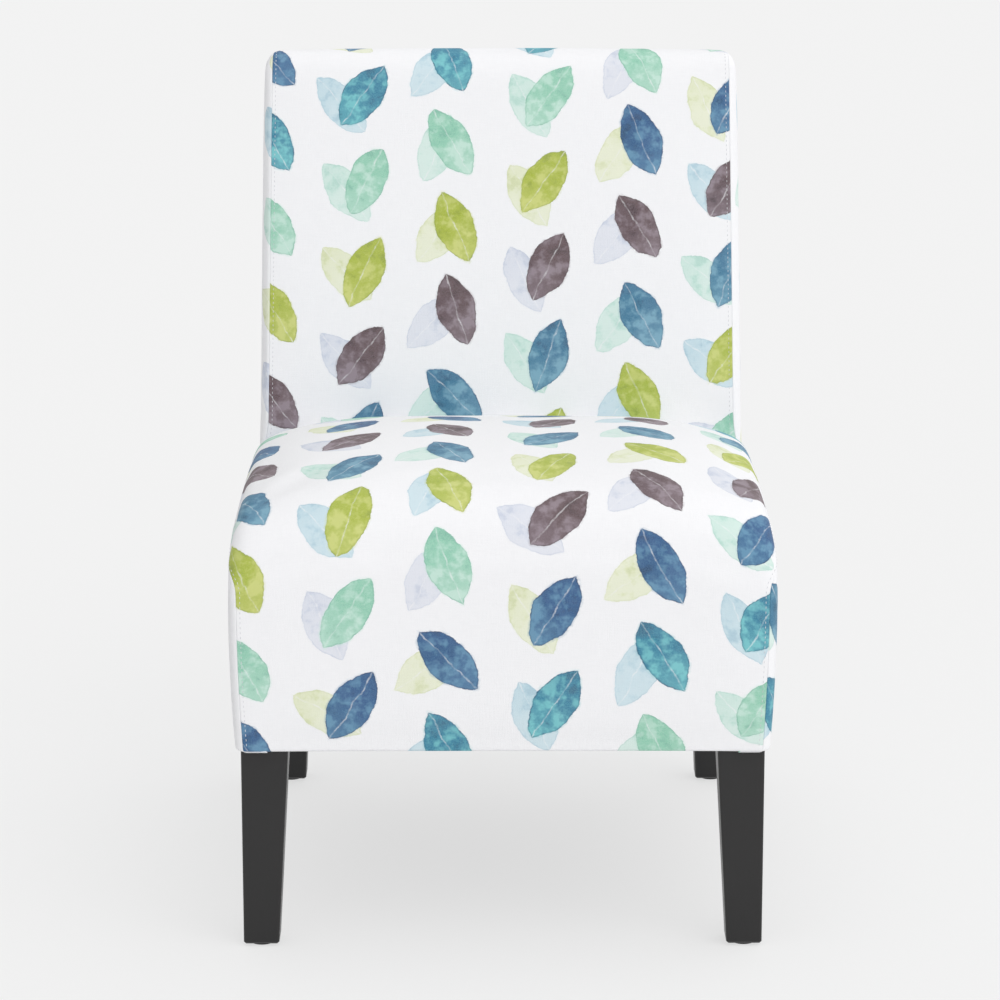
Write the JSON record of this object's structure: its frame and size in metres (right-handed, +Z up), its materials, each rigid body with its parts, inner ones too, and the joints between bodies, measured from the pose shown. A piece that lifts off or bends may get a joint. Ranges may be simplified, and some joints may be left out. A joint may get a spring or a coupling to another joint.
{
  "type": "armless accent chair",
  "caption": "Armless upholstered accent chair with a crowned waterfall seat, leaning straight back, watercolour-print cover and four tapered black wooden legs.",
  "frame": {"origin": "middle of the bounding box on the floor, between the four feet", "axes": "+Z up from the floor, +Y towards the back of the chair, +X to the right of someone who looks at its front"},
  "size_m": [0.56, 0.7246, 0.8678],
  "materials": {
    "printed_fabric": "matt woven upholstery cloth, white with watercolour motifs in blue, aqua, mint, lime and brown",
    "dust_cloth": "black spun-bonded cloth, matt",
    "foam": "polyurethane foam, matt",
    "wadding": "polyester wadding, matt",
    "deck_cloth": "felted insulator cloth, matt",
    "webbing": "elastic upholstery webbing, matt",
    "frame_wood": "plain sawn frame timber and plywood",
    "leg_wood": "black satin stain and lacquer over hardwood",
    "spring_steel": "oil-tempered spring wire",
    "zinc_steel": "zinc-plated steel",
    "glide_plastic": "moulded black plastic"
  },
  "bodies": {
    "root": {"seat_cover": "printed_fabric", "left_seat_side_cover": "printed_fabric", "right_seat_side_cover": "printed_fabric", "inside_back_cover": "printed_fabric", "outside_back_cover": "printed_fabric", "left_back_side_cover": "printed_fabric", "right_back_side_cover": "printed_fabric", "dust_cover": "dust_cloth", "seat_foam": "foam", "back_foam": "foam", "front_rail_pad": "wadding", "left_rail_pad": "wadding", "right_rail_pad": "wadding", "rear_wadding": "wadding", "spring_deck": "deck_cloth", "back_cross_webbing": "webbing", "back_upright_webbing": "webbing", "front_rail": "frame_wood", "left_side_rail": "frame_wood", "right_side_rail": "frame_wood", "spring_rail": "frame_wood", "rear_bottom_rail": "frame_wood", "left_back_post": "frame_wood", "right_back_post": "frame_wood", "back_top_rail": "frame_wood", "lumbar_rail": "frame_wood", "left_front_corner_block": "frame_wood", "right_front_corner_block": "frame_wood", "left_rear_corner_block": "frame_wood", "right_rear_corner_block": "frame_wood", "left_front_leg": "leg_wood", "right_front_leg": "leg_wood", "left_rear_leg": "leg_wood", "right_rear_leg": "leg_wood", "seat_springs": "spring_steel", "spring_tie_wires": "spring_steel", "spring_clips": "zinc_steel", "leg_bolts": "zinc_steel", "leg_nuts": "zinc_steel", "leg_glides": "glide_plastic"}
  },
  "joints": []
}
